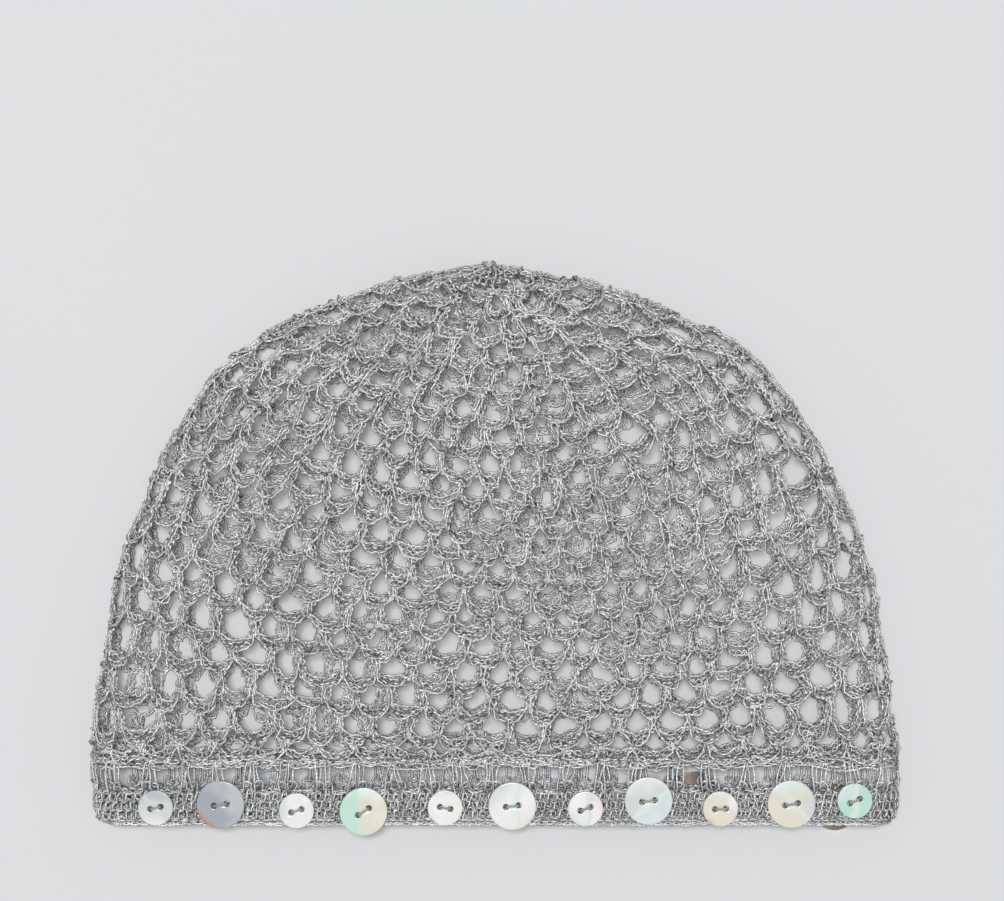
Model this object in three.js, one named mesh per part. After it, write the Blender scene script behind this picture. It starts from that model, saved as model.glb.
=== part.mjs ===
// Crochet skullcap with shell buttons, lying flat with its back layer on the table.
// Millimetres. +Z is up, +X runs along the rim and +Y from the rim to the crown centre.
import * as THREE from "three";

// Whole cap
const capWidth = 264;
const capHeight = 182.5;
const crownLean = 2.3;

// Thickness of the lying cap, over both layers
const rimThickness = 18;
const crownThickness = 25;
const fullestRise = 105;
const tableShare = 0.42;
const domeDrop = 0.12;
const softWave = 0.8;
const waveLength = 92;

// Folded sides
const rimFold = 8.5;
const crownFold = 17;

// Walls of crochet
const netWall = 2.2;
const postWall = 2.2;
const bandWall = 2.4;
const bandGroove = 0.5;
const bandRows = 3;
const edgeWall = 2.6;

// Rounds, measured from the rim along the middle of the cap
const edgeRise = 2;
const bandRise = 8;
const postRise = 9.2;
const centreRise = 7;
const nubHeight = 1.4;
const pieceGap = 0.3;

// Openings in the mesh
const netGapWidth = 13;
const netGapHeight = 15;
const postGapWidth = 12.5;
const postGapHeight = 6;
const postCount = 20;
const widestGapShare = 0.56;

// Shell buttons
const largeButton = 15;
const smallButton = 11.4;
const buttonThickness = 2;
const buttonHole = 1.9;
const largeHoleSpacing = 4.2;
const smallHoleSpacing = 3.5;
const buttonSides = 14;
const holeSides = 5;

// Fold outline from the rim corner to the crown centre, in shares of the height and the half width
const outline = [
  { rise: 0, reach: 0.984 },
  { rise: 0.04, reach: 0.998 },
  { rise: 0.16, reach: 1 },
  { rise: 0.34, reach: 0.968 },
  { rise: 0.48, reach: 0.93 },
  { rise: 0.585, reach: 0.873 },
  { rise: 0.69, reach: 0.805 },
  { rise: 0.8, reach: 0.7 },
  { rise: 0.87, reach: 0.59 },
  { rise: 0.94, reach: 0.395 },
  { rise: 0.983, reach: 0.19 },
  { rise: 1, reach: 0 },
];

// Rows of the open net: how many gaps go round, and the row's share of the net's height
const netRows = [
  { gaps: 20, share: 0.17 },
  { gaps: 20, share: 0.17 },
  { gaps: 20, share: 0.17 },
  { gaps: 18, share: 0.17 },
  { gaps: 14, share: 0.17 },
  { gaps: 8, share: 0.15 },
];

// Buttons from left to right: place in shares of the half width and of the rim's height,
// which hole size they have and how far their two holes are turned from the rim's line
const frontButtons = [
  { across: -0.838, up: 0.59, large: false, turned: 12.5 },
  { across: -0.678, up: 0.69, large: true, turned: 9 },
  { across: -0.491, up: 0.49, large: false, turned: 17.6 },
  { across: -0.326, up: 0.46, large: true, turned: 32.5 },
  { across: -0.125, up: 0.58, large: false, turned: -11 },
  { across: 0.04, up: 0.64, large: true, turned: 8 },
  { across: 0.22, up: 0.55, large: false, turned: 21 },
  { across: 0.375, up: 0.81, large: true, turned: 7.5 },
  { across: 0.552, up: 0.55, large: false, turned: 3 },
  { across: 0.727, up: 0.71, large: true, turned: 10.5 },
  { across: 0.883, up: 0.82, large: false, turned: 25 },
];
const backButtons = [
  { across: -0.895, up: 0.53, large: true, turned: -14 },
  { across: -0.738, up: 0.51, large: false, turned: 6 },
  { across: -0.563, up: 0.8, large: true, turned: 18 },
  { across: -0.386, up: 0.65, large: false, turned: -9 },
  { across: -0.21, up: 0.58, large: true, turned: 11 },
  { across: -0.035, up: 0.51, large: false, turned: 0 },
  { across: 0.142, up: 0.56, large: true, turned: -20 },
  { across: 0.318, up: 0.48, large: false, turned: 15 },
  { across: 0.496, up: 0.79, large: true, turned: 5 },
  { across: 0.671, up: 0.53, large: false, turned: -12 },
  { across: 0.848, up: 0.41, large: true, turned: 24 },
];

// Places worked out from the sizes above
const bandStart = edgeRise + pieceGap;
const postStart = bandStart + bandRise + pieceGap;
const netStart = postStart + postRise + pieceGap;
const netEnd = capHeight - centreRise - pieceGap;
const rimHeight = edgeRise + bandRise;
const backLift = buttonThickness + pieceGap;
const foldCurve = new THREE.SplineCurve(
  outline.map((row) => new THREE.Vector2((row.reach * capWidth) / 2, row.rise * capHeight)),
);
foldCurve.arcLengthDivisions = 600;
const foldLength = foldCurve.getLength();

function smoothStep(value, low, high) {
  return THREE.MathUtils.smoothstep(value, low, high);
}

// Distance along the folded side that a round has reached; the rim's own rounds run straight across
function foldDistance(rise) {
  const stretch = (foldLength - netStart) / (capHeight - netStart);
  return rise <= netStart ? rise : netStart + (rise - netStart) * stretch;
}

// Share of the full thickness near a fold: a quarter ellipse over the fold's width
function foldedShare(distance, width) {
  const inside = Math.min(Math.max(distance / width, 0), 1);
  return Math.sqrt(1 - (1 - inside) ** 2);
}

// One round of the cap as a closed run of points, evenly spaced by length
class Round {
  constructor(rise) {
    this.rise = rise;
    const along = Math.min(foldDistance(rise) / foldLength, 1);
    const foldPoint = foldCurve.getPointAt(along);
    this.half = Math.max(foldPoint.x, 1e-4);
    this.foldRise = foldPoint.y;
    const fullness = smoothStep(rise, 0, fullestRise);
    this.thickness = THREE.MathUtils.lerp(rimThickness, crownThickness, fullness);
    this.fold = Math.min(THREE.MathUtils.lerp(rimFold, crownFold, fullness), this.half);
    this.crownShare = foldedShare(capHeight - rise, crownFold);
    const onTable = smoothStep(rise, postStart + postRise, fullestRise / 2);
    this.base = backLift * (1 - onTable);
    this.measure();
  }

  // A point of the round: reach runs from -1 at the left fold to 1 at the right, side is 1 above
  surface(reach, side) {
    const fromFold = (1 - Math.abs(reach)) * this.half;
    const x = reach * this.half - (crownLean * this.rise) / capHeight;
    const y = this.rise + (this.foldRise - this.rise) * reach ** 2;
    const share = foldedShare(fromFold, this.fold) * this.crownShare;
    const layer = side > 0 ? 1 - tableShare : tableShare;
    const dome = side > 0 ? 1 - domeDrop * reach ** 2 : 1;
    const middle = this.base + this.thickness * tableShare;
    const turn = (2 * Math.PI) / waveLength;
    const wave = Math.sin(x * turn + 1) * Math.sin(y * turn) * smoothStep(y, netStart, fullestRise);
    const soft = side > 0 ? softWave * wave * share : 0;
    return new THREE.Vector3(x, y, middle + side * this.thickness * layer * dome * share + soft);
  }

  measure() {
    const foldSteps = 24;
    const flatSteps = 40;
    const flatReach = 1 - this.fold / this.half;
    const reaches = [];
    for (let step = 0; step < flatSteps; step++) {
      reaches.push((flatReach * step) / flatSteps);
    }
    for (let step = 0; step <= foldSteps; step++) {
      const angle = ((1 - step / foldSteps) * Math.PI) / 2;
      reaches.push(1 - (this.fold / this.half) * (1 - Math.cos(angle)));
    }
    const back = [...reaches].reverse();
    this.points = [
      ...reaches.map((reach) => this.surface(reach, 1)),
      ...back.map((reach) => this.surface(reach, -1)),
      ...reaches.map((reach) => this.surface(-reach, -1)),
      ...back.map((reach) => this.surface(-reach, 1)),
    ];
    this.lengths = [0];
    for (let index = 1; index < this.points.length; index++) {
      const step = this.points[index].distanceTo(this.points[index - 1]);
      this.lengths.push(this.lengths[index - 1] + step);
    }
    this.length = this.lengths[this.lengths.length - 1];
  }

  // A turn of 0 is the middle of the upper side, a quarter the right fold and a half the underside
  pointAt(turn) {
    const target = (turn - Math.floor(turn)) * this.length;
    let low = 0;
    let high = this.lengths.length - 1;
    while (high - low > 1) {
      const middle = (low + high) >> 1;
      if (this.lengths[middle] <= target) low = middle;
      else high = middle;
    }
    const span = this.lengths[high] - this.lengths[low];
    const share = span > 0 ? (target - this.lengths[low]) / span : 0;
    return this.points[low].clone().lerp(this.points[high], share);
  }
}

const rounds = new Map();
function roundAt(rise) {
  const key = Math.min(Math.max(rise, 0), capHeight).toFixed(4);
  if (!rounds.has(key)) rounds.set(key, new Round(Number(key)));
  return rounds.get(key);
}

// Outward direction of the cap's outer surface
function normalAt(rise, turn) {
  const step = 0.6;
  const across = step / roundAt(rise).length;
  const around = roundAt(rise).pointAt(turn + across).sub(roundAt(rise).pointAt(turn - across));
  const up = roundAt(rise + step).pointAt(turn).sub(roundAt(rise - step).pointAt(turn));
  return around.cross(up).normalize();
}

function wallPoint(rise, turn, depth) {
  return roundAt(rise).pointAt(turn).addScaledVector(normalAt(rise, turn), -depth);
}

// A closed body put together from shared corner points
class Body {
  constructor() {
    this.corners = [];
    this.faces = [];
  }

  corner(point) {
    this.corners.push(point.x, point.y, point.z);
    return this.corners.length / 3 - 1;
  }

  triangle(a, b, c) {
    this.faces.push(a, b, c);
  }

  quad(a, b, c, d) {
    this.faces.push(a, b, c, a, c, d);
  }

  geometry() {
    const geometry = new THREE.BufferGeometry();
    geometry.setAttribute("position", new THREE.Float32BufferAttribute(this.corners, 3));
    geometry.setIndex(this.faces);
    geometry.computeVertexNormals();
    return geometry;
  }
}

// A ring of wall corners: each holds its turn and its outer and inner corner
function wallRing(body, wall, places) {
  return places.map(({ rise, turn }) => ({
    turn,
    outer: body.corner(wallPoint(rise, turn, 0)),
    inner: body.corner(wallPoint(rise, turn, wall)),
  }));
}

function wallQuad(body, a, b, c, d) {
  body.quad(a.outer, b.outer, c.outer, d.outer);
  body.quad(a.inner, d.inner, c.inner, b.inner);
}

function wallTriangle(body, a, b, c) {
  body.triangle(a.outer, b.outer, c.outer);
  body.triangle(a.inner, c.inner, b.inner);
}

// The cut edge of a wall, from one corner to the next with the opening on the right
function wallEdge(body, from, to) {
  body.quad(to.outer, from.outer, from.inner, to.inner);
}

// The cut edges round a gap whose corners are listed counterclockwise, seen from outside
function wallGap(body, loop) {
  loop.forEach((here, step) => wallEdge(body, loop[(step + 1) % loop.length], here));
}

function closeRing(body, ring, facesRim) {
  ring.forEach((here, index) => {
    const next = ring[(index + 1) % ring.length];
    if (facesRim) wallEdge(body, here, next);
    else wallEdge(body, next, here);
  });
}

// Joins two rings of different counts, always stepping along the one that lags behind
function joinRings(body, lower, upper) {
  let low = 0;
  let high = 0;
  const turnOf = (ring, index) => ring[index % ring.length].turn + Math.floor(index / ring.length);
  while (low < lower.length || high < upper.length) {
    const here = lower[low % lower.length];
    const above = upper[high % upper.length];
    const lowNext = turnOf(lower, low + 1);
    const highNext = turnOf(upper, high + 1);
    const stepLow = high >= upper.length || (low < lower.length && lowNext <= highNext);
    if (stepLow) {
      wallTriangle(body, here, lower[(low + 1) % lower.length], above);
      low++;
    } else {
      wallTriangle(body, here, upper[(high + 1) % upper.length], above);
      high++;
    }
  }
}

// One row of six-sided gaps: four rings of corners, with the middle two faces of each cell left out
function netRow(body, row, start, end, shifted) {
  const columns = 4;
  const count = row.gaps * columns;
  const middle = (start + end) / 2;
  const pitch = roundAt(middle).length / row.gaps;
  const width = Math.min(netGapWidth, pitch * widestGapShare);
  const height = Math.min(netGapHeight, (end - start) * widestGapShare);
  const columnPlace = [0, 0.5 - width / pitch / 2, 0.5, 0.5 + width / pitch / 2];
  const shift = shifted ? 0.5 : 0;
  const rings = [start, middle - height / 4, middle + height / 4, end].map((ringRise, ring) => {
    const places = [];
    for (let index = 0; index < count; index++) {
      const column = index % columns;
      const inner = ring === 1 || ring === 2;
      const even = column / columns;
      const cell = Math.floor(index / columns) + (inner ? columnPlace[column] : even) + shift;
      const tip = inner && column === 2 ? Math.sign(ringRise - middle) * (height / 4) : 0;
      places.push({ rise: ringRise + tip, turn: cell / row.gaps });
    }
    return wallRing(body, netWall, places);
  });
  for (let index = 0; index < count; index++) {
    const next = (index + 1) % count;
    const column = index % columns;
    for (let ring = 0; ring < 3; ring++) {
      const open = ring === 1 && (column === 1 || column === 2);
      if (open) continue;
      const [low, high] = [rings[ring], rings[ring + 1]];
      wallQuad(body, low[index], low[next], high[next], high[index]);
    }
    if (column === 1) {
      const [low, high] = [rings[1], rings[2]];
      const loop = [low[index], low[index + 1], low[index + 2]];
      loop.push(high[index + 2], high[index + 1], high[index]);
      wallGap(body, loop);
    }
  }
  return { first: rings[0], last: rings[3] };
}

// The crown: rows of gaps, joined by narrow strips that take up the change in count
function crownNet() {
  const body = new Body();
  const strip = 1.6;
  const shares = netRows.reduce((sum, row) => sum + row.share, 0);
  let start = netStart;
  let below = null;
  let bottom = null;
  netRows.forEach((row, index) => {
    const end = start + ((netEnd - netStart) * row.share) / shares;
    const low = index === 0 ? start : start + strip / 2;
    const high = index === netRows.length - 1 ? end : end - strip / 2;
    const made = netRow(body, row, low, high, index % 2 === 1);
    if (below) {
      const firstTurn = made.first[0].turn;
      const from = below.findIndex((place) => place.turn >= firstTurn - 1e-9);
      const turned = [...below.slice(from), ...below.slice(0, from).map(({ turn, ...rest }) => {
        return { ...rest, turn: turn + 1 };
      })];
      joinRings(body, turned, made.first);
    } else {
      bottom = made.first;
    }
    below = made.last;
    start = end;
  });
  closeRing(body, bottom, true);
  closeRing(body, below, false);
  return body.geometry();
}

// The round of tall stitches: square gaps between posts
function postRow() {
  const body = new Body();
  const columns = 3;
  const count = postCount * columns;
  const middle = postStart + postRise / 2;
  const pitch = roundAt(middle).length / postCount;
  const columnPlace = [0, 0.5 - postGapWidth / pitch / 2, 0.5 + postGapWidth / pitch / 2];
  const rises = [
    postStart,
    middle - postGapHeight / 2,
    middle + postGapHeight / 2,
    postStart + postRise,
  ];
  const rings = rises.map((rise) => {
    const places = [];
    for (let index = 0; index < count; index++) {
      const cell = Math.floor(index / columns) + columnPlace[index % columns];
      places.push({ rise, turn: cell / postCount });
    }
    return wallRing(body, postWall, places);
  });
  for (let index = 0; index < count; index++) {
    const next = (index + 1) % count;
    const inGap = index % columns === 1;
    for (let ring = 0; ring < 3; ring++) {
      if (ring === 1 && inGap) continue;
      const [low, high] = [rings[ring], rings[ring + 1]];
      wallQuad(body, low[index], low[next], high[next], high[index]);
    }
    if (inGap) {
      const loop = [rings[1][index], rings[1][next], rings[2][next], rings[2][index]];
      wallGap(body, loop);
    }
  }
  closeRing(body, rings[0], true);
  closeRing(body, rings[3], false);
  return body.geometry();
}

// Turns for a plain ring: wide steps where the cap is flat and short ones round its folds
function foldedTurns() {
  const foldShare = (2.2 * rimFold) / roundAt(0).length;
  const flatSteps = 9;
  const foldSteps = 4;
  const quarter = [];
  for (let step = 0; step < flatSteps; step++) {
    quarter.push(((0.25 - foldShare) * step) / flatSteps);
  }
  for (let step = 0; step < foldSteps; step++) {
    quarter.push(0.25 - foldShare + (foldShare * step) / foldSteps);
  }
  const half = [...quarter, 0.25, ...quarter.slice(1).reverse().map((turn) => 0.5 - turn)];
  return [...half, ...half.map((turn) => 0.5 + turn)];
}

// A closed ring with the same section all the way, given as rises and depths below the surface
function sweptRing(section) {
  const body = new Body();
  const turns = foldedTurns();
  const loops = turns.map((turn) => {
    return section.map(({ rise, depth }) => body.corner(wallPoint(rise, turn, depth)));
  });
  loops.forEach((loop, index) => {
    const nextLoop = loops[(index + 1) % loops.length];
    loop.forEach((corner, place) => {
      const next = (place + 1) % loop.length;
      body.quad(corner, nextLoop[place], nextLoop[next], loop[next]);
    });
  });
  return body.geometry();
}

// Single crochet rows stand as ridges with a groove between each two
function band() {
  const section = [];
  for (let row = 0; row < bandRows; row++) {
    section.push({ rise: bandStart + (bandRise * row) / bandRows, depth: bandGroove });
    section.push({ rise: bandStart + (bandRise * (row + 0.5)) / bandRows, depth: 0 });
  }
  section.push({ rise: bandStart + bandRise, depth: bandGroove });
  section.push({ rise: bandStart + bandRise, depth: bandWall });
  section.push({ rise: bandStart, depth: bandWall });
  return sweptRing(section);
}

function edgeChain() {
  const corner = 0.28;
  return sweptRing([
    { rise: 0, depth: edgeWall * corner },
    { rise: edgeRise * corner, depth: 0 },
    { rise: edgeRise, depth: 0 },
    { rise: edgeRise, depth: edgeWall },
    { rise: edgeRise * corner, depth: edgeWall },
    { rise: 0, depth: edgeWall * (1 - corner) },
  ]);
}

// The closed centre: a small cap of wall that rises to a nub
function crownCentre() {
  const body = new Body();
  const sides = 16;
  const steps = [0, 0.35, 0.68];
  const rings = steps.map((share) => {
    const rise = capHeight - centreRise * (1 - share);
    const places = [];
    for (let index = 0; index < sides; index++) {
      places.push({ rise, turn: index / sides });
    }
    return wallRing(body, netWall, places);
  });
  for (let ring = 0; ring < rings.length - 1; ring++) {
    const [low, high] = [rings[ring], rings[ring + 1]];
    for (let index = 0; index < sides; index++) {
      const next = (index + 1) % sides;
      wallQuad(body, low[index], low[next], high[next], high[index]);
    }
  }
  const top = roundAt(capHeight).pointAt(0);
  const pole = {
    outer: body.corner(top.clone().setY(capHeight + nubHeight)),
    inner: body.corner(top.clone().setY(capHeight - netWall)),
  };
  const last = rings[rings.length - 1];
  for (let index = 0; index < sides; index++) {
    wallTriangle(body, last[index], last[(index + 1) % sides], pole);
  }
  closeRing(body, rings[0], true);
  return body.geometry();
}

function circle(sides, radius, x) {
  const points = [];
  for (let index = 0; index < sides; index++) {
    const angle = (2 * Math.PI * index) / sides;
    points.push(new THREE.Vector2(x + radius * Math.cos(angle), radius * Math.sin(angle)));
  }
  return points;
}

// A flat two-hole disc, with its underside at z = 0
function buttonDisc(diameter, holeSpacing) {
  const shape = new THREE.Shape(circle(buttonSides, diameter / 2, 0));
  for (const side of [-1, 1]) {
    const x = (side * holeSpacing) / 2;
    shape.holes.push(new THREE.Path(circle(holeSides, buttonHole / 2, x)));
  }
  return new THREE.ExtrudeGeometry(shape, { depth: buttonThickness, bevelEnabled: false });
}

// The turn at which a round lies at the given x, on the upper side or the underside
function turnAtX(rise, x, side) {
  const round = roundAt(rise);
  let low = side > 0 ? -0.25 : 0.75;
  let high = 0.25;
  for (let step = 0; step < 40; step++) {
    const middle = (low + high) / 2;
    if (round.pointAt(middle).x < x) low = middle;
    else high = middle;
  }
  return (low + high) / 2;
}

// How far the crochet under a button stands above the plane through its centre
function seatHeight(rise, turn, centre, normal, radius) {
  let highest = 0;
  const steps = 4;
  for (let up = -steps; up <= steps; up++) {
    for (let across = -steps; across <= steps; across++) {
      const sampleRise = Math.max(rise + (radius * up) / steps, 0);
      const sampleTurn = turn + (radius * across) / steps / roundAt(rise).length;
      const offset = roundAt(sampleRise).pointAt(sampleTurn).sub(centre);
      highest = Math.max(highest, offset.dot(normal));
    }
  }
  return highest;
}

// Seats a button on the cap's outer surface, clear of it by the piece gap
function seatButton(mesh, { across, up, large, turned }, side) {
  const rise = up * rimHeight;
  const turn = turnAtX(rise, (across * capWidth) / 2, side);
  const centre = roundAt(rise).pointAt(turn);
  const normal = normalAt(rise, turn);
  const radius = (large ? largeButton : smallButton) / 2;
  const height = seatHeight(rise, turn, centre, normal, radius) + pieceGap;
  const alongRim = new THREE.Vector3(1, 0, 0).addScaledVector(normal, -normal.x).normalize();
  const holeLine = alongRim.applyAxisAngle(normal, THREE.MathUtils.degToRad(turned * side));
  const upLine = normal.clone().cross(holeLine);
  mesh.setRotationFromMatrix(new THREE.Matrix4().makeBasis(holeLine, upLine, normal));
  mesh.position.copy(centre).addScaledVector(normal, height);
}

function yarnMaterial(color) {
  return new THREE.MeshStandardMaterial({ color, roughness: 0.6, metalness: 0.15 });
}

function shellMaterial(color) {
  return new THREE.MeshStandardMaterial({ color, roughness: 0.25, metalness: 0 });
}

function namedMesh(name, geometry, material) {
  const mesh = new THREE.Mesh(geometry, material);
  mesh.name = name;
  return mesh;
}

const cap = new THREE.Group();
cap.add(namedMesh("crown_net", crownNet(), yarnMaterial(0xa6a6a6)));
cap.add(namedMesh("post_row", postRow(), yarnMaterial(0xa4a5a5)));
cap.add(namedMesh("band", band(), yarnMaterial(0x9fa0a0)));
cap.add(namedMesh("edge_chain", edgeChain(), yarnMaterial(0xa8a8a9)));
cap.add(namedMesh("crown_centre", crownCentre(), yarnMaterial(0xa0a0a0)));

for (const [layer, buttons, side] of [["front", frontButtons, 1], ["back", backButtons, -1]]) {
  buttons.forEach((button, index) => {
    const name = `button_${layer}_${String(index + 1).padStart(2, "0")}`;
    const diameter = button.large ? largeButton : smallButton;
    const spacing = button.large ? largeHoleSpacing : smallHoleSpacing;
    const color = side > 0 ? 0xdcdcd6 : 0xb9aa98;
    const mesh = namedMesh(name, buttonDisc(diameter, spacing), shellMaterial(color));
    seatButton(mesh, button, side);
    cap.add(mesh);
  });
}

// The origin is on the table, under the middle of the cap's box
const box = new THREE.Box3().setFromObject(cap);
const middle = box.getCenter(new THREE.Vector3());
cap.position.set(-middle.x, -middle.y, -box.min.z);

export default cap;
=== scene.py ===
"""Crochet skullcap with shell buttons, lying flat on a pale floor.

The yarn is laid stitch by stitch along the cap's surface, round after round from the crown centre
to the rim. All lengths are in metres.
"""

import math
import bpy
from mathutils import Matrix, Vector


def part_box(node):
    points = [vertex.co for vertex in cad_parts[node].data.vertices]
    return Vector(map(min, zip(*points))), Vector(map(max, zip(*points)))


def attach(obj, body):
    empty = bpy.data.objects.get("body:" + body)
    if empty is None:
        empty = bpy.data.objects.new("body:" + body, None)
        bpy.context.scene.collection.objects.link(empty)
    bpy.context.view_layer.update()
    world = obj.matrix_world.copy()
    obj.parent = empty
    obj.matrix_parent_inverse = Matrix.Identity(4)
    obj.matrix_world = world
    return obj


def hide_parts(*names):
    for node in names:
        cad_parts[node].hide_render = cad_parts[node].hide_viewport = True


bl_info = {
    "name": "Crochet Skullcap",
    "version": (1, 0, 0),
    "blender": (4, 5, 0),
    "location": "View3D > Sidebar > Skullcap",
    "description": "Works a lying crochet skullcap stitch by stitch and sews shell buttons on its band",
    "category": "Add Mesh",
}

import bpy
import numpy as np
from mathutils import Matrix, Vector

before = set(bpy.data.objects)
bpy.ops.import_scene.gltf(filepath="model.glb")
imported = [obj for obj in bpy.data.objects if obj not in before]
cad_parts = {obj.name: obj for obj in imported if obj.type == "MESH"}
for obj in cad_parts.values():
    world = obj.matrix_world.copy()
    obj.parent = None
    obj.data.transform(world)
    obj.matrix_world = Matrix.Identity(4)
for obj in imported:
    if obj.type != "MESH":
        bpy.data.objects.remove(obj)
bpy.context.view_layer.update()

# Where the part's rim is, from the frame
edge_low, edge_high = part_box("edge_chain")
CAP_CORNER = np.array([(edge_low[0] + edge_high[0]) / 2, edge_low[1], 0.0])

# Fold outline from the rim corner to the crown centre, in shares of the height and the half width
OUTLINE = (
    (0.0, 0.984),
    (0.04, 0.998),
    (0.16, 1.0),
    (0.34, 0.968),
    (0.48, 0.93),
    (0.585, 0.873),
    (0.69, 0.805),
    (0.8, 0.7),
    (0.87, 0.59),
    (0.94, 0.395),
    (0.983, 0.19),
    (1.0, 0.0),
)

# Places in the photo, in its pixels, and how many metres one pixel spans
PIXEL = 0.0003265
PHOTO_WIDTH = 1004
PHOTO_CENTRE = (502.0, 450.5)
PHOTO_RIM = (496.0, 823.5)

# Most triangles in one piece of the net before the next piece begins
PIECE_LIMIT = 140000


def length_property(name, description, default):
    return bpy.props.FloatProperty(
        name=name, description=description, default=default, min=0.0, unit="LENGTH", precision=5
    )


def share_property(name, description, default):
    return bpy.props.FloatProperty(name=name, description=description, default=default, precision=3)


def count_property(name, description, default):
    return bpy.props.IntProperty(name=name, description=description, default=default, min=1)


def colour_property(name, description, default):
    return bpy.props.FloatVectorProperty(
        name=name, description=description, default=default, size=3, min=0.0, max=1.0, subtype="COLOR"
    )


class CapForm(bpy.types.PropertyGroup):
    """Sizes of the lying cap"""

    width: length_property("Width", "Flat width from fold to fold", 0.264)
    height: length_property("Height", "Rim to crown centre, lying flat", 0.1825)
    lean: length_property("Lean", "How far the crown centre sits to the left", 0.0023)
    rim_thickness: length_property("Rim Thickness", "Both layers at the rim", 0.018)
    crown_thickness: length_property("Crown Thickness", "Both layers at the fullest", 0.025)
    fullest_rise: length_property("Fullest Rise", "Where the crown is fullest", 0.105)
    table_share: share_property("Table Share", "Share of the thickness below the folds", 0.42)
    dome_drop: share_property("Dome Drop", "How much the upper side falls towards the folds", 0.12)
    soft_wave: length_property("Soft Wave", "Height of the gentle waves on the upper side", 0.0008)
    wave_length: length_property("Wave Length", "Length of those waves", 0.092)
    rim_fold: length_property("Rim Fold", "Width of the side fold at the rim", 0.0085)
    crown_fold: length_property("Crown Fold", "Width of the side fold at the crown", 0.017)
    rim_rounds: length_property("Rim Rounds", "Height of the edge, band and post row", 0.0201)
    back_lift: length_property("Back Lift", "How far the back buttons hold the rim up", 0.0023)


class CrochetWork(bpy.types.PropertyGroup):
    """The yarn and how it is worked"""

    yarn: length_property("Yarn", "Diameter of the yarn", 0.0008)
    net_rounds: count_property("Net Rounds", "Rounds of open mesh", 19)
    arches: count_property("Arches", "Arches round the widest rounds", 48)
    fewest_arches: count_property("Fewest Arches", "Arches in the first round", 10)
    crown_step: share_property("Crown Step", "Height of the first rounds, as a share of the most", 0.85)
    last_step: share_property("Last Step", "Height of the last round, as a share of the most", 0.6)
    closest_pitch: length_property("Closest Pitch", "Narrowest arch before one is left out", 0.0106)
    arch_drop: length_property("Arch Drop", "How far each arch sags", 0.0019)
    chain_stitch: length_property("Chain Stitch", "Length of a chain stitch", 0.002)
    chain_spread: length_property("Chain Spread", "Half width between a chain's legs", 0.00092)
    chain_lift: length_property("Chain Lift", "How far a chain's legs stand out", 0.0005)
    chain_gap: length_property("Chain Gap", "Distance between the two chains of an arch", 0.0021)
    post_spacing: length_property("Post Spacing", "Between the two chains of a post in the net", 0.0021)
    band_post_spacing: length_property("Band Post Spacing", "Between the tall stitches of a post", 0.0034)
    centre_rise: length_property("Centre Rise", "Height of the closed centre", 0.0073)
    layer_slip: length_property("Layer Slip", "How far the layers' rounds part higher up", 0.0005)
    side_slip: length_property("Side Slip", "How far the layers' arches part at the sides", 0.0014)
    looseness: length_property("Looseness", "How unevenly the stitches lie", 0.0003)
    straying: length_property("Straying", "How far stretches of a few stitches stray", 0.0008)
    drift: length_property("Drift", "How far whole parts of the net drift", 0.0017)
    net_depth: length_property("Net Depth", "How deep the net's yarn lies", 0.0007)
    band_rounds: count_property("Band Rounds", "Rounds of short stitches", 3)
    band_bottom: length_property("Band Bottom", "Rise of the band's lower edge", 0.002)
    band_top: length_property("Band Top", "Rise of the band's upper edge", 0.0104)
    band_depth: length_property("Band Depth", "How deep the band's yarn lies", 0.0008)
    backing_depth: length_property("Backing Depth", "How deep the strands behind the band lie", 0.0021)
    short_width: length_property("Short Width", "Width of a short stitch", 0.0028)
    post_groups: count_property("Post Groups", "Groups of tall stitches above the band", 49)
    post_head: length_property("Post Head", "Rise of the chain on top of the posts", 0.0194)
    edge_rise: length_property("Edge Rise", "Rise of the edging's middle", 0.0009)
    edge_spread: length_property("Edge Spread", "Half width of the edging", 0.001)
    colour: colour_property("Yarn Colour", "Shiny grey of the yarn", (0.87, 0.872, 0.877))
    # Painted shade: the darker grey painted into the grooves between the plies
    shade: colour_property("Groove Colour", "Grey between the twisted plies", (0.56, 0.562, 0.567))
    seed: count_property("Seed", "Seed of the uneven work", 7)


class ShellButtons(bpy.types.PropertyGroup):
    """Sizes of the shell buttons and of what sews them on"""

    thickness: length_property("Thickness", "Thickness of a button", 0.002)
    bevel: length_property("Bevel", "Rounding of a button's edges", 0.00034)
    large_share: share_property("Large Share", "Size of the large ones against the CAD solid", 1.035)
    hole: length_property("Hole", "Diameter of a hole", 0.0019)
    large_spacing: length_property("Large Hole Spacing", "Between the holes of a large one", 0.0042)
    small_spacing: length_property("Small Hole Spacing", "Between the holes of a small one", 0.0035)
    thread: length_property("Thread", "Diameter of the sewing thread", 0.00042)


class StageSettings(bpy.types.PropertyGroup):
    """Floor, light and camera"""

    floor_colour: colour_property("Floor Colour", "Pale floor", (0.765, 0.772, 0.786))
    sky: share_property("Sky Strength", "Even light from all round", 0.34)
    lamp_power: bpy.props.FloatProperty(
        name="Lamp Power", description="Power of the soft light overhead", default=36.5, unit="POWER"
    )
    lamp_size: length_property("Lamp Size", "Side of the soft light", 0.36)
    lamp_height: length_property("Lamp Height", "Height of the soft light", 2.4)
    lamp_back: length_property("Lamp Back", "How far the light stands behind the crown", 0.2)
    lamp_left: length_property("Lamp Left", "How far the light stands to the left", 0.08)
    lens: bpy.props.FloatProperty(name="Lens", description="Focal length", default=120.0, unit="CAMERA")
    focus_height: length_property("Focus Height", "Height at which a photo pixel spans its size", 0.016)


def smooth_step(value, low, high):
    share = np.clip((np.asarray(value, float) - low) / (high - low), 0.0, 1.0)
    return share * share * (3 - 2 * share)


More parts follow.
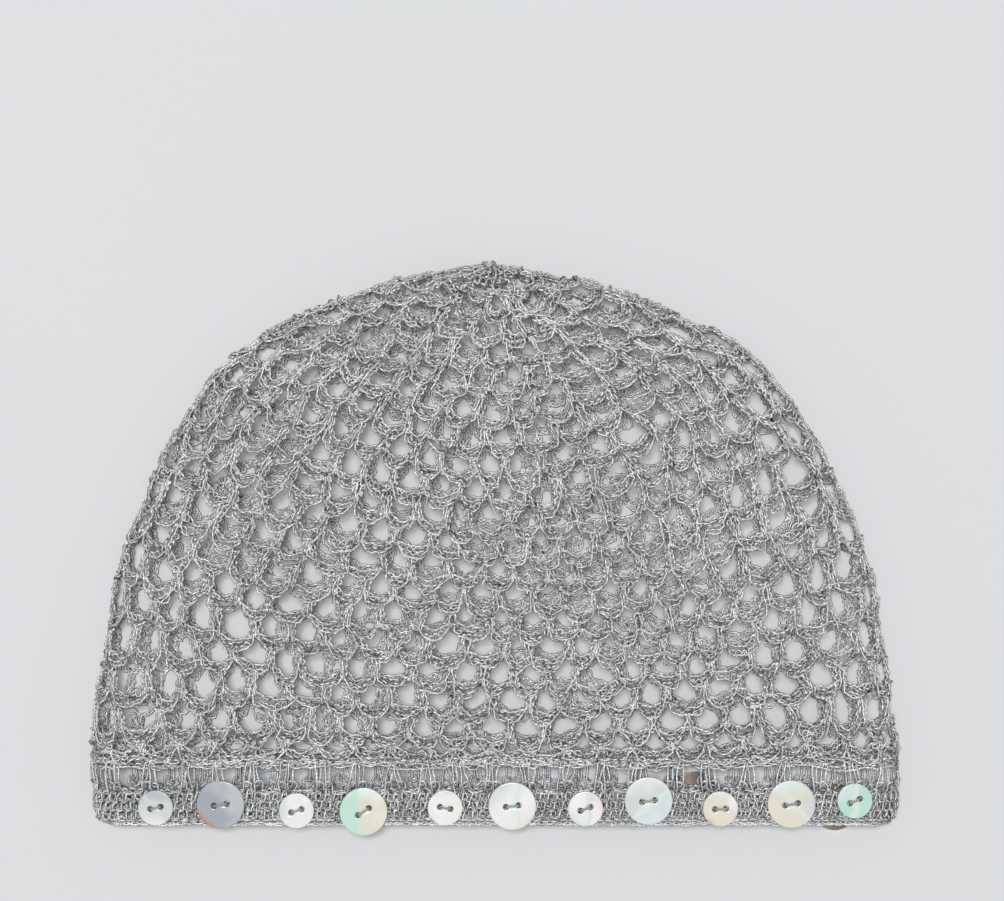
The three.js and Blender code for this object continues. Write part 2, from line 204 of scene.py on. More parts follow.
def catmull_rom(points, steps):
    """A smooth run through all the points, with so many steps between each two."""
    points = np.asarray(points, dtype=float)
    padded = np.vstack([points[:1], points, points[-1:]])
    share = (np.arange(steps) / steps)[:, None]
    spans = []
    for index in range(len(points) - 1):
        before, start, end, after = padded[index : index + 4]
        leave, arrive = (end - before) / 2, (after - start) / 2
        spans.append(
            (2 * start - 2 * end + leave + arrive) * share**3
            + (-3 * start + 3 * end - 2 * leave - arrive) * share**2
            + leave * share
            + start
        )
    return np.vstack(spans + [points[-1:]])


def run_lengths(points):
    steps = np.linalg.norm(np.diff(points, axis=0), axis=1)
    return np.concatenate([[0.0], np.cumsum(steps)])


def unit(vectors):
    return vectors / np.maximum(np.linalg.norm(vectors, axis=-1, keepdims=True), 1e-12)


class Straying:
    """Slow unevenness of hand work: how far yarn lies off its place, round, up and out."""

    waves = 18

    def __init__(self, rng, around, rising):
        self.around = rng.integers(*around, self.waves) * rng.choice((-1, 1), self.waves)
        self.rising = rng.uniform(*rising, self.waves)
        self.starts = rng.uniform(0, 2 * math.pi, (3, self.waves))
        self.sizes = rng.normal(0, 1, (3, self.waves)) * math.sqrt(2 / self.waves)

    def at(self, rise, turn):
        angle = 2 * math.pi * (turn[..., None] * self.around + rise[..., None] * self.rising)
        return [(np.sin(angle + self.starts[axis]) * self.sizes[axis]).sum(axis=-1) for axis in range(3)]


class CapSurface:
    """Outer surface of the lying cap, on a grid of rises above the rim and turns round it.

    A turn of 0 is the middle of the upper side, a quarter the right fold and a half the underside.
    """

    rise_steps = 260
    turn_steps = 720

    def __init__(self, form, work):
        self.form = form
        self.strayings = (
            (work.straying, Straying(np.random.default_rng(work.seed + 40), (5, 26), (10, 48))),
            (work.drift, Straying(np.random.default_rng(work.seed + 41), (1, 5), (2, 11))),
        )
        corners = [(reach * form.width / 2, rise * form.height) for rise, reach in OUTLINE]
        self.fold_line = catmull_rom(corners, 60)
        self.fold_lengths = run_lengths(self.fold_line)
        self.rises = np.linspace(0.0, form.height, self.rise_steps)
        made = [self.round_points(rise) for rise in self.rises]
        self.points = np.array([points for points, length in made]) + CAP_CORNER
        self.lengths = np.array([length for points, length in made])
        around = np.roll(self.points, -1, axis=1) - np.roll(self.points, 1, axis=1)
        upward = np.gradient(self.points, axis=0)
        self.normals = unit(np.cross(around, upward))
        self.normals[-1] = (0.0, 1.0, 0.0)

    def layer(self, rise, half, fold_rise, reach, side):
        """Points of a round's upper or under layer, for reaches from -1 to 1."""
        form = self.form
        fullness = smooth_step(rise, 0.0, form.fullest_rise)
        thickness = form.rim_thickness + (form.crown_thickness - form.rim_thickness) * fullness
        fold = min(form.rim_fold + (form.crown_fold - form.rim_fold) * fullness, half)
        crown = self.folded_share(form.height - rise, form.crown_fold)
        share = self.folded_share((1 - np.abs(reach)) * half, fold) * crown
        x = reach * half - form.lean * rise / form.height
        y = rise + (fold_rise - rise) * reach**2
        part = 1 - form.table_share if side > 0 else form.table_share
        dome = 1 - form.dome_drop * reach**2 if side > 0 else 1.0
        lift = form.back_lift * (1 - smooth_step(rise, form.rim_rounds - 0.0003, form.fullest_rise / 2))
        middle = lift + thickness * form.table_share
        turn = 2 * math.pi / form.wave_length
        swell = smooth_step(y, form.rim_rounds, form.fullest_rise)
        wave = np.sin(x * turn + 1) * np.sin(y * turn) * swell
        soft = form.soft_wave * wave * share if side > 0 else 0.0
        z = middle + side * thickness * part * dome * share + soft
        return np.stack([x, y + 0 * x, z], axis=-1)

    @staticmethod
    def folded_share(distance, width):
        inside = np.clip(distance / width, 0, 1)
        return np.sqrt(1 - (1 - inside) ** 2)

    def round_points(self, rise):
        form = self.form
        full = self.fold_lengths[-1]
        stretch = (full - form.rim_rounds) / (form.height - form.rim_rounds)
        along = rise if rise <= form.rim_rounds else form.rim_rounds + (rise - form.rim_rounds) * stretch
        half = max(np.interp(along, self.fold_lengths, self.fold_line[:, 0]), 1e-7)
        fold_rise = np.interp(along, self.fold_lengths, self.fold_line[:, 1])
        fullness = smooth_step(rise, 0.0, form.fullest_rise)
        fold = min(form.rim_fold + (form.crown_fold - form.rim_fold) * fullness, half)
        flat = np.linspace(0, 1 - fold / half, 41)[:-1]
        bend = 1 - fold / half * (1 - np.cos(np.linspace(math.pi / 2, 0, 25)))
        reaches = np.concatenate([flat, bend])
        runs = [
            self.layer(rise, half, fold_rise, reaches, 1),
            self.layer(rise, half, fold_rise, reaches[::-1], -1),
            self.layer(rise, half, fold_rise, -reaches, -1),
            self.layer(rise, half, fold_rise, -reaches[::-1], 1),
        ]
        points = np.vstack(runs)
        lengths = run_lengths(points)
        turns = np.arange(self.turn_steps) / self.turn_steps * lengths[-1]
        placed = [np.interp(turns, lengths, points[:, axis]) for axis in range(3)]
        return np.stack(placed, axis=-1), lengths[-1]

    def sample(self, grid, rise, turn):
        row = np.clip(rise / self.form.height, 0, 1) * (self.rise_steps - 1)
        column = np.mod(turn, 1.0) * self.turn_steps
        low_row = np.minimum(row.astype(int), self.rise_steps - 2)
        low_column = column.astype(int) % self.turn_steps
        next_column = (low_column + 1) % self.turn_steps
        row_share = (row - low_row)[..., None]
        column_share = (column - np.floor(column))[..., None]
        near = grid[low_row, low_column] * (1 - column_share) + grid[low_row, next_column] * column_share
        far = grid[low_row + 1, low_column] * (1 - column_share)
        far = far + grid[low_row + 1, next_column] * column_share
        return near * (1 - row_share) + far * row_share

    def place(self, rise, turn, depth=0.0):
        """Points below the surface by depth, and the surface's outward directions there."""
        rise, turn = np.broadcast_arrays(np.asarray(rise, float), np.asarray(turn, float))
        form = self.form
        free = smooth_step(rise, form.rim_rounds - 0.002, form.rim_rounds + 0.012)
        free = free * (1 - smooth_step(rise, form.height - 0.016, form.height - 0.006))
        moved = np.zeros((3,) + rise.shape)
        for amount, straying in self.strayings:
            moved = moved + np.stack(straying.at(rise, turn)) * free * amount
        moved_turn = turn + moved[0] / self.length(rise)
        moved_rise = rise + moved[1] * 0.7
        normals = unit(self.sample(self.normals, moved_rise, moved_turn))
        points = self.sample(self.points, moved_rise, moved_turn)
        return points + normals * (moved[2] * 0.25 - depth)[..., None], normals

    def length(self, rise):
        return np.interp(rise, self.rises, self.lengths)


def drifting(count, every, size, rng):
    """Random values that change slowly, with a fresh one every so many steps."""
    knots = rng.normal(0.0, size, int(count / every) + 3)
    return np.interp(np.arange(count) / every, np.arange(len(knots)), knots)


def chain_path(centre, normals, stitch, steps, rng, unevenness=1.0, roll=0.0, reach=0.75):
    """Yarn of a crochet chain: each stitch runs forward, turns round its head and comes back.

    The stitch is given as its length, its half width and how far its legs stand out.
    """
    length, spread, lift = stitch
    lengths = run_lengths(centre)
    stitches = max(2, round(lengths[-1] / length))
    along = unit(np.gradient(centre, axis=0))
    count = stitches * steps
    even = np.arange(count) / steps
    phase = 2 * math.pi * even + drifting(count, steps, 0.45 * unevenness, rng)
    share = (even + reach * np.sin(phase)) / stitches * lengths[-1]
    inside = np.clip(share, 0, lengths[-1])

    def at(values):
        return np.stack([np.interp(inside, lengths, values[:, axis]) for axis in range(3)], axis=-1)

    direction = unit(at(along))
    outward = unit(at(normals))
    point = at(centre) + direction * (share - inside)[:, None]
    across = unit(np.cross(direction, outward))
    turned = (roll + drifting(count, steps * 1.5, 0.5 * unevenness, rng))[:, None]
    side = across * np.cos(turned) + outward * np.sin(turned)
    front = outward * np.cos(turned) - across * np.sin(turned)
    wide = spread * (1 + drifting(count, steps, 0.25 * unevenness, rng)) * np.cos(phase)
    wide = wide + drifting(count, steps, 0.25 * spread * unevenness, rng)
    return point + side * wide[:, None] + front * (lift * np.cos(2 * phase))[:, None]


def closed_chain(surface, rises, depth, stitch, steps, rng, unevenness=1.0, roll=0.0, reach=0.75):
    """A chain all the way round the cap, along a line of rises at even turns."""
    turns = np.linspace(0, 1, len(rises))
    centre, normals = surface.place(rises, turns, depth)
    return chain_path(centre, normals, stitch, steps, rng, unevenness, roll, reach)


# A tall stitch above the band, seen from outside, with its wrap low down.
# Each row is a share of its height, then yarns up, across and outwards.
BAND_POST = (
    (0.0, 0.0, -1.0, 0.2),
    (0.3, 0.0, -1.3, 0.8),
    (0.7, 0.0, -1.1, 1.0),
    (1.0, 0.6, -0.8, 1.0),
    (1.0, 1.8, 0.0, -0.3),
    (1.0, 0.4, 0.8, -0.7),
    (0.75, 0.0, 0.7, 0.6),
    (0.4, 0.0, 0.6, 0.9),
    (0.2, 0.0, 0.1, -0.8),
    (0.25, 0.0, -1.8, -0.2),
    (0.4, 0.0, -0.2, 1.7),
    (0.3, 0.0, 1.7, 0.6),
    (0.0, 0.0, 0.9, 0.1),
)

# A short stitch of the band, in the same terms
SHORT_STITCH = (
    (0.0, 0.0, -2.1, 0.1),
    (0.3, 0.0, -1.9, 1.0),
    (0.8, 0.0, -1.0, 1.2),
    (1.1, 0.3, 0.1, 0.3),
    (1.0, 0.0, 0.7, -0.9),
    (0.4, 0.0, 0.5, -0.4),
    (0.0, 0.3, -0.5, 1.0),
    (0.0, -0.4, 0.7, 1.4),
    (0.1, 0.0, 1.7, 0.8),
)


def stitch_path(pattern, foot, head, normal, yarn, steps, rng, looseness):
    """A stitch from its foot to the loop it hooks into above."""
    rising = head - foot
    up = unit(rising)
    across = unit(np.cross(up, normal))
    out = np.cross(across, up)
    shares = np.array(pattern)
    controls = foot + rising * shares[:, :1] + up * shares[:, 1:2] * yarn
    controls = controls + across * shares[:, 2:3] * yarn + out * shares[:, 3:4] * yarn
    controls = controls + rng.normal(0.0, looseness, controls.shape)
    return catmull_rom(controls, steps)[:-1]


def laid_on_table(points, radius):
    """The points with those near or below the table pressed together just above it."""
    lowest = points[:, 2].min()
    if lowest >= radius:
        return points
    free = 5 * radius
    pressed = radius + (points[:, 2] - lowest) * (free - radius) / (free - lowest)
    laid = points.copy()
    laid[:, 2] = np.where(points[:, 2] < free, pressed, points[:, 2])
    return laid


def tube(points, radius, sides=4):
    """Rings of corners round a closed run of points, carried along without twisting."""
    along = unit(np.roll(points, -1, axis=0) - np.roll(points, 1, axis=0))
    seat = np.empty_like(points)
    current = np.cross(along[0], (0.31, 0.27, 0.91))
    for index, direction in enumerate(along):
        current = current - direction * current.dot(direction)
        current = current / math.sqrt(max(current.dot(current), 1e-18))
        seat[index] = current
    other = np.cross(along, seat)
    corners = []
    for side in range(sides):
        angle = 2 * math.pi * side / sides
        corners.append(points + (seat * math.cos(angle) + other * math.sin(angle)) * radius)
    return np.stack(corners, axis=1)


class YarnMesh:
    """Collects closed runs of yarn and turns them into one mesh object."""

    ply_pitch = 0.0024

    def __init__(self):
        self.corners = []
        self.quads = []
        self.marks = []
        self.count = 0

    def triangles(self):
        return sum(len(quads) for quads in self.quads) * 2

    def add(self, points, radius, sides=4):
        points = laid_on_table(points, radius)
        rings = tube(points, radius, sides)
        total = len(points)
        start = np.arange(total)[:, None]
        side = np.arange(sides)[None, :]
        after, beside = (start + 1) % total, (side + 1) % sides
        index = np.stack(
            [start * sides + side, after * sides + side, after * sides + beside, start * sides + beside],
            axis=-1,
        )
        self.quads.append(index.reshape(-1, 4) + self.count)
        lengths = run_lengths(np.vstack([points, points[:1]])) / self.ply_pitch
        low = np.broadcast_to(lengths[:-1, None], (total, sides))
        high = np.broadcast_to(lengths[1:, None], (total, sides))
        near = np.broadcast_to(side / sides, (total, sides))
        far = near + 1 / sides
        marks = np.stack([low, near, high, near, high, far, low, far], axis=-1)
        self.marks.append(marks.reshape(-1, 2))
        self.corners.append(rings.reshape(-1, 3))
        self.count += total * sides

    def build(self, name):
        corners = np.vstack(self.corners)
        quads = np.vstack(self.quads)
        mesh = bpy.data.meshes.new(name)
        mesh.vertices.add(len(corners))
        mesh.vertices.foreach_set("co", corners.astype(np.float32).ravel())
        mesh.loops.add(quads.size)
        mesh.loops.foreach_set("vertex_index", quads.astype(np.int32).ravel())
        mesh.polygons.add(len(quads))
        mesh.polygons.foreach_set("loop_start", np.arange(0, quads.size, 4, dtype=np.int32))
        layer = mesh.uv_layers.new(name="yarn")
        layer.data.foreach_set("uv", np.vstack(self.marks).astype(np.float32).ravel())
        mesh.update(calc_edges=True)
        mesh.shade_smooth()
        made = bpy.data.objects.new(name, mesh)
        bpy.context.scene.collection.objects.link(made)
        return made


class NetRound:
    """One round of the open mesh: where its posts stand and how its arches sag."""

    def __init__(self, work, surface, index, rng):
        form = surface.form
        top = form.height - work.centre_rise
        shares = np.interp(np.arange(work.net_rounds), (0, 8), (work.crown_step, 1.0))
        shares[-1] = work.last_step
        step = (top - form.rim_rounds) / shares.sum()
        self.level = top - shares[: index + 1].sum() * step + work.arch_drop
        fitting = surface.length(self.level) / work.closest_pitch
        self.count = int(max(min(work.arches, 2 * int(fitting / 2)), work.fewest_arches))
        upper = float(smooth_step(self.level, form.fullest_rise * 0.6, form.fullest_rise * 1.1))
        self.tilt = work.layer_slip * upper
        phase = 0.5 * (index % 2) + 0.06 * upper
        width = surface.length(self.level)
        turns = (np.arange(self.count) + phase) / self.count
        turns = turns + work.side_slip * upper / width * (1 - np.cos(4 * math.pi * turns))
        self.turns = turns + rng.normal(0, work.looseness * 2 / width, self.count)
        flatter = 1 - 0.45 * smooth_step(self.level, form.fullest_rise, form.height)
        self.drops = work.arch_drop * flatter * rng.uniform(0.7, 1.3, self.count)

    def rise(self, turn):
        """The arch's rise at a turn."""
        turn = np.asarray(turn, float)
        around = np.mod(turn - self.turns[0], 1.0)
        starts = self.turns - self.turns[0]
        index = np.clip(np.searchsorted(starts, around, side="right") - 1, 0, self.count - 1)
        ends = np.append(starts[1:], 1.0)
        share = (around - starts[index]) / (ends[index] - starts[index])
        level = self.level + self.tilt * np.cos(2 * math.pi * turn)
        return level - self.drops[index] * (1 - np.cos(2 * math.pi * share)) / 2


def post_sides(surface, work, feet, heads, turn, spacing, rng):
    """The lines of a post's two halves, closer at their heads, as rises and turns."""
    width = surface.length(feet)
    for side in (-0.5, 0.5):
        lean = rng.normal(0, work.looseness * 1.6)
        apart = side * spacing * rng.uniform(0.8, 1.2)
        across = np.linspace(apart + lean, apart * 0.7 - lean, 8)
        yield np.linspace(feet, heads, 8), turn + across / width


def tall_post(surface, work, foot_rise, turn, rng):
    """Two tall stitches side by side above the band, as one run of yarn."""
    runs = []
    spacing = work.band_post_spacing
    for rises, turns in post_sides(surface, work, foot_rise, work.post_head, turn, spacing, rng):
        line, normals = surface.place(rises, turns, work.net_depth)
        facing = unit(normals[0] + normals[-1])
        loose = work.looseness * 0.9
        runs.append(stitch_path(BAND_POST, line[0], line[-1], facing, work.yarn, 2, rng, loose))
    return np.vstack(runs)


def corded_post(surface, work, foot_rise, head_rise, turn, rng):
    """A post of the net: a chain up to the arch above, and another back down beside it."""
    runs = []
    stitch = (work.chain_stitch, work.chain_spread * 0.85, work.chain_lift)
    for rises, turns in post_sides(surface, work, foot_rise, head_rise, turn, work.post_spacing, rng):
        if runs:
            rises, turns = rises[::-1], turns[::-1]
        centre, normals = surface.place(rises, turns, work.net_depth)
        runs.append(chain_path(centre, normals, stitch, 7, rng, 1.6, rng.normal(0, 0.5)))
    return np.vstack(runs)


def arch_path(surface, work, start, end, rise_of, rng):
    """A chain from one post to the next along a sagging line."""
    turns = np.linspace(start, end, 14)
    centre, normals = surface.place(rise_of(turns), turns, work.net_depth)
    stitch = (work.chain_stitch, work.chain_spread, work.chain_lift)
    return chain_path(centre, normals, stitch, 7, rng, 1.6, rng.normal(0, 0.5))


def posts_and_arches(surface, work, here, heads, rng):
    """A round's posts, each followed by the lower chain of its arch."""
    width = surface.length(here.level)
    margin = (work.post_spacing / 2 + work.yarn) / width
    runs = []
    for index, turn in enumerate(here.turns):
        after = here.turns[index + 1] if index + 1 < here.count else here.turns[0] + 1
        foot = float(here.rise(turn)) + work.yarn
        head = float(heads(turn))
        runs.append(corded_post(surface, work, foot, head, turn, rng))
        runs.append(arch_path(surface, work, turn + margin, after - margin, here.rise, rng))
    return np.vstack(runs)


def second_chain(surface, work, here, rng):
    """The upper chain of a round's arches, all the way round."""
    turns = np.linspace(0, 1, here.count * 10 + 1)
    rises = here.rise(turns) + work.chain_gap
    stitch = (work.chain_stitch, work.chain_spread, work.chain_lift)
    return closed_chain(surface, rises, work.net_depth * 1.5, stitch, 6, rng, 1.8, reach=-0.75)


def short_round(surface, work, foot_rise, head_rise, depth, lean, rng):
    """A dense round of short stitches, each leaning to one side."""
    width = surface.length(foot_rise)
    count = int(width / work.short_width)
    turns = (np.arange(count) + rng.uniform(0, 1)) / count
    feet, normals = surface.place(np.full(count, foot_rise), turns, depth)
    heads, above = surface.place(np.full(count, head_rise), turns + lean / width, depth)
    runs = []
    for foot, head, normal in zip(feet, heads, unit(normals + above)):
        runs.append(stitch_path(SHORT_STITCH, foot, head, normal, work.yarn, 2, rng, work.looseness * 0.7))
    return np.vstack(runs)


def cap_surface(scene):
    return CapSurface(scene.cap_form, scene.crochet_work)


def dress(piece, material, node):
    """Gives a finished piece its material and its body, and hides the CAD node that it stands for."""
    piece.data.materials.clear()
    piece.data.materials.append(material)
    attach(piece, "root")
    if node:
        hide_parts(node)
    return piece


class SKULLCAP_OT_net(bpy.types.Operator):
    """Work the open mesh of the crown, round by round"""

    bl_idname = "skullcap.net"
    bl_label = "Crown Net"

    def execute(self, context):
        work = context.scene.crochet_work
        surface = cap_surface(context.scene)
        rng = np.random.default_rng(work.seed)
        material = yarn_material(work)
        rounds = [NetRound(work, surface, index, rng) for index in range(work.net_rounds)]
        centre_edge = surface.form.height - work.centre_rise
        yarn = YarnMesh()
        made = 0
        for index, here in enumerate(rounds):
            heads = rounds[index - 1].rise if index else lambda turn: centre_edge
            yarn.add(posts_and_arches(surface, work, here, heads, rng), work.yarn / 2)
            yarn.add(second_chain(surface, work, here, rng), work.yarn / 2)
            if yarn.triangles() > PIECE_LIMIT or here is rounds[-1]:
                made += 1
                dress(yarn.build(f"net_rounds_{made}"), material, "crown_net")
                yarn = YarnMesh()
        return {"FINISHED"}


class SKULLCAP_OT_posts(bpy.types.Operator):
    """Work the tall posts between the band and the net, and the chain on top of them"""

    bl_idname = "skullcap.posts"
    bl_label = "Post Row"

    def execute(self, context):
        work = context.scene.crochet_work
        surface = cap_surface(context.scene)
        rng = np.random.default_rng(work.seed + 1)
        yarn = YarnMesh()
        foot = work.band_top + work.yarn / 2
        width = surface.length(foot)
        turns = np.arange(work.post_groups) / work.post_groups
        turns = turns + 0.4 / work.post_groups * np.maximum(0, np.sin(2 * math.pi * turns))
        turns = turns + rng.normal(0, work.looseness * 2 / width, work.post_groups)
        runs = []
        for index, turn in enumerate(turns):
            after = turns[index + 1] if index + 1 < len(turns) else turns[0] + 1
            runs.append(tall_post(surface, work, foot, turn, rng))
            margin = (work.band_post_spacing / 2 + work.yarn) / width
            runs.append(
                arch_path(
                    surface, work, turn + margin, after - margin, lambda places: np.full_like(places, foot), rng
                )
            )
        yarn.add(np.vstack(runs), work.yarn / 2)
        stitch = (work.chain_stitch * 1.2, work.chain_spread, work.chain_lift)
        for offset, roll in ((0.0, 0.25), (work.chain_gap * 0.8, -0.5)):
            line = work.post_head + offset + drifting(480, 9, work.looseness * 1.5, rng)
            line = np.append(line, line[0])
            path = closed_chain(surface, line, work.net_depth, stitch, 7, rng, 1.5, roll)
            yarn.add(path, work.yarn / 2)
        dress(yarn.build("post_row_stitches"), yarn_material(work), "post_row")
        return {"FINISHED"}


class SKULLCAP_OT_band(bpy.types.Operator):
    """Work the dense band of short stitches"""

    bl_idname = "skullcap.band"
    bl_label = "Band"

    def execute(self, context):
        work = context.scene.crochet_work
        surface = cap_surface(context.scene)
        rng = np.random.default_rng(work.seed + 2)
        yarn = YarnMesh()
        step = (work.band_top - work.band_bottom) / work.band_rounds
        for index in range(work.band_rounds):
            foot = work.band_bottom + step * index
            path = short_round(surface, work, foot, foot + step, work.band_depth, -work.yarn, rng)
            yarn.add(path, work.yarn / 2)
            behind = np.full(481, foot + step / 2)
            stitch = (work.short_width, step * 0.42, work.chain_lift)
            path = closed_chain(surface, behind, work.backing_depth, stitch, 8, rng, 0.5)
            yarn.add(path, work.yarn / 2)
        dress(yarn.build("band_stitches"), yarn_material(work), "band")
        return {"FINISHED"}


class SKULLCAP_OT_edge(bpy.types.Operator):
    """Work the chain edging along the rim"""

    bl_idname = "skullcap.edge"
    bl_label = "Chain Edging"

    def execute(self, context):
        work = context.scene.crochet_work
        surface = cap_surface(context.scene)
        rng = np.random.default_rng(work.seed + 3)
        yarn = YarnMesh()
        rises = np.full(481, work.edge_rise)
        stitch = (work.short_width * 1.05, work.edge_spread, work.chain_lift)
        for depth, roll in ((work.band_depth, -0.5), (work.backing_depth, 0.5)):
            path = closed_chain(surface, rises, depth, stitch, 11, rng, 0.5, roll)
            yarn.add(path, work.yarn / 2)
        dress(yarn.build("edge_braid"), yarn_material(work), "edge_chain")
        return {"FINISHED"}


class SKULLCAP_OT_centre(bpy.types.Operator):
    """Work the closed centre of the crown"""

    bl_idname = "skullcap.centre"
    bl_label = "Crown Centre"

    def execute(self, context):
        work = context.scene.crochet_work
        surface = cap_surface(context.scene)
        rng = np.random.default_rng(work.seed + 4)
        yarn = YarnMesh()
        height = surface.form.height
        for low, high in ((0.0072, 0.0048), (0.0048, 0.0026), (0.0028, 0.001)):
            path = short_round(surface, work, height - low, height - high, work.net_depth, 0.0, rng)
            yarn.add(path, work.yarn / 2)
        ring = np.full(61, height - 0.0008)
        path = closed_chain(surface, ring, -work.yarn, (0.0016, 0.0006, work.chain_lift), 10, rng)
        yarn.add(path, work.yarn / 2)
        dress(yarn.build("crown_centre_stitches"), yarn_material(work), "crown_centre")
        return {"FINISHED"}


class ButtonSeat:
    """Where a button lies, read from its CAD solid."""

    def __init__(self, node, side):
        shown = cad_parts[node]
        corners = np.array([shown.matrix_world @ vertex.co for vertex in shown.data.vertices])
        corners = np.unique(corners.round(7), axis=0)
        self.middle = (corners.min(axis=0) + corners.max(axis=0)) / 2
        spread = np.linalg.svd(corners - corners.mean(axis=0), full_matrices=False)[2]
        normal = spread[2]
        if normal[2] * side < 0:
            normal = -normal
        offsets = corners - corners.mean(axis=0)
        flat = offsets - np.outer(offsets.dot(normal), normal)
        distances = np.linalg.norm(flat, axis=1)
        self.radius = distances.max()
        self.middle = corners.mean(axis=0)
        near_holes = flat[distances < self.radius * 0.7]
        line = np.linalg.svd(near_holes, full_matrices=False)[2][0]
        if line[0] < 0:
            line = -line
        self.normal = normal
        self.line = unit(line - normal * line.dot(normal))
        self.large = self.radius > 0.0065

    def matrix(self):
        """From a button at the origin, with its holes along X, to where it lies."""
        upward = np.cross(self.normal, self.line)
        turned = np.stack([self.line, upward, self.normal], axis=1)
        made = Matrix(turned.tolist()).to_4x4()
        made.translation = Vector(self.middle.tolist())
        return made


def button_names():
    return [(f"button_{layer}_{number:02d}", side) for layer, side in (("front", 1), ("back", -1))
            for number in range(1, 12)]


def apply_modifier(made, kind, **settings):
    modifier = made.modifiers.new(kind.lower(), kind)
    for name, value in settings.items():
        setattr(modifier, name, value)
    bpy.context.view_layer.objects.active = made
    bpy.ops.object.modifier_apply(modifier=modifier.name)


def model_button(sizes, radius, spacing):
    """A two-hole button at the origin: a disc with rounded edges and rounded holes."""
    bpy.ops.object.select_all(action="DESELECT")
    bpy.ops.mesh.primitive_cylinder_add(vertices=56, radius=radius, depth=sizes.thickness)
    disc = bpy.context.active_object
    for side in (-0.5, 0.5):
        place = (side * spacing, 0.0, 0.0)
        bpy.ops.mesh.primitive_cylinder_add(
            vertices=20, radius=sizes.hole / 2, depth=sizes.thickness * 3, location=place
        )
        drill = bpy.context.active_object
        apply_modifier(disc, "BOOLEAN", operation="DIFFERENCE", object=drill, solver="EXACT")
        bpy.data.objects.remove(drill)
    apply_modifier(disc, "BEVEL", width=sizes.bevel, segments=3, limit_method="ANGLE", angle_limit=0.7)
    apply_modifier(disc, "TRIANGULATE", quad_method="BEAUTY")
    return disc


class SKULLCAP_OT_buttons(bpy.types.Operator):
    """Lay the shell buttons on the band, each where its CAD solid lies"""

    bl_idname = "skullcap.buttons"
    bl_label = "Shell Buttons"

    def execute(self, context):
        sizes = context.scene.shell_buttons
        modelled = {}
        for name, side in button_names():
            seat = ButtonSeat(name, side)
            if seat.large not in modelled:
                spacing = sizes.large_spacing if seat.large else sizes.small_spacing
                radius = float(seat.radius) * (sizes.large_share if seat.large else 1.0)
                modelled[seat.large] = model_button(sizes, radius, spacing)
            made = modelled[seat.large].copy()
            made.data = modelled[seat.large].data.copy()
            made.name = name.replace("button", "shell")
            made.data.transform(seat.matrix())
            context.scene.collection.objects.link(made)
            self.mark_face(made, seat)
            made.data.shade_smooth()
            bpy.ops.object.select_all(action="DESELECT")
            made.select_set(True)
            context.view_layer.objects.active = made
            bpy.ops.object.shade_smooth_by_angle(angle=0.9)
            apply_modifier(made, "WEIGHTED_NORMAL", keep_sharp=True)
            dress(made, shell_material(name), name)
            self.colour_back(made, seat, name)
        for disc in modelled.values():
            bpy.data.objects.remove(disc)
        return {"FINISHED"}

    def colour_back(self, made, seat, name):
        """The side against the crochet shows the shell's outer skin."""
        made.data.materials.append(skin_material(name in DARK_BACKS))
        inward = Vector((-seat.normal).tolist())
        for polygon in made.data.polygons:
            polygon.material_index = int(polygon.normal.dot(inward) > 0.6)

    def mark_face(self, made, seat):
        """UVs that run from 0 to 1 over the button, upright as the cap lies."""
        mesh = made.data
        corners = np.empty(len(mesh.vertices) * 3)
        mesh.vertices.foreach_get("co", corners)
        offsets = corners.reshape(-1, 3) - seat.middle
        face = offsets[:, :2] / (2 * seat.radius) + 0.5
        used = np.empty(len(mesh.loops), dtype=np.int32)
        mesh.loops.foreach_get("vertex_index", used)
        while mesh.uv_layers:
            mesh.uv_layers.remove(mesh.uv_layers[0])
        layer = mesh.uv_layers.new(name="face")
        layer.data.foreach_set("uv", face[used].astype(np.float32).ravel())


class SKULLCAP_OT_threads(bpy.types.Operator):
    """Sew each button on with loops of thread through its holes"""

    bl_idname = "skullcap.threads"
    bl_label = "Button Threads"

    def execute(self, context):
        sizes = context.scene.shell_buttons
        radius = sizes.thread / 2
        for layer in ("front", "back"):
            yarn = YarnMesh()
            rng = np.random.default_rng(11)
            for name, side in button_names():
                if layer not in name:
                    continue
                seat = ButtonSeat(name, side)
                spacing = sizes.large_spacing if seat.large else sizes.small_spacing
                matrix = np.array(seat.matrix())
                for lane in (-0.55, 0.55):
                    loop = self.loop(spacing / 2, lane * sizes.thread, sizes.thickness / 2, radius, rng)
                    yarn.add(loop.dot(matrix[:3, :3].T) + matrix[:3, 3], radius, 6)
            dress(yarn.build(f"button_threads_{layer}"), thread_material(), None)
        return {"FINISHED"}

    def loop(self, half, lane, face, radius, rng):
        """A loop over the button, down both holes and through the crochet behind it."""
        over = face + radius * 1.1
        below = -face - 0.0009
        corners = [
            (-half * 0.5, over * 1.06),
            (0.0, over * 1.1),
            (half * 0.5, over * 1.06),
            (half * 0.86, over),
            (half, face * 0.6),
            (half, -face),
            (half * 0.7, below),
            (0.0, below),
            (-half * 0.7, below),
            (-half, -face),
            (-half, face * 0.6),
            (-half * 0.86, over),
        ]
        points = np.array([(x, lane, z) for x, z in corners])
        points = points + rng.normal(0, radius * 0.12, points.shape)
        wrapped = np.vstack([points, points[:3]])
        return catmull_rom(wrapped, 3)[3:-6]


def group_node(material, name, build):
    """The material's copy of a shared node group, made on first use."""
    shared = bpy.data.node_groups.get(name) or build(name)
    node = material.node_tree.nodes.new("ShaderNodeGroup")
    node.node_tree = shared
    return node


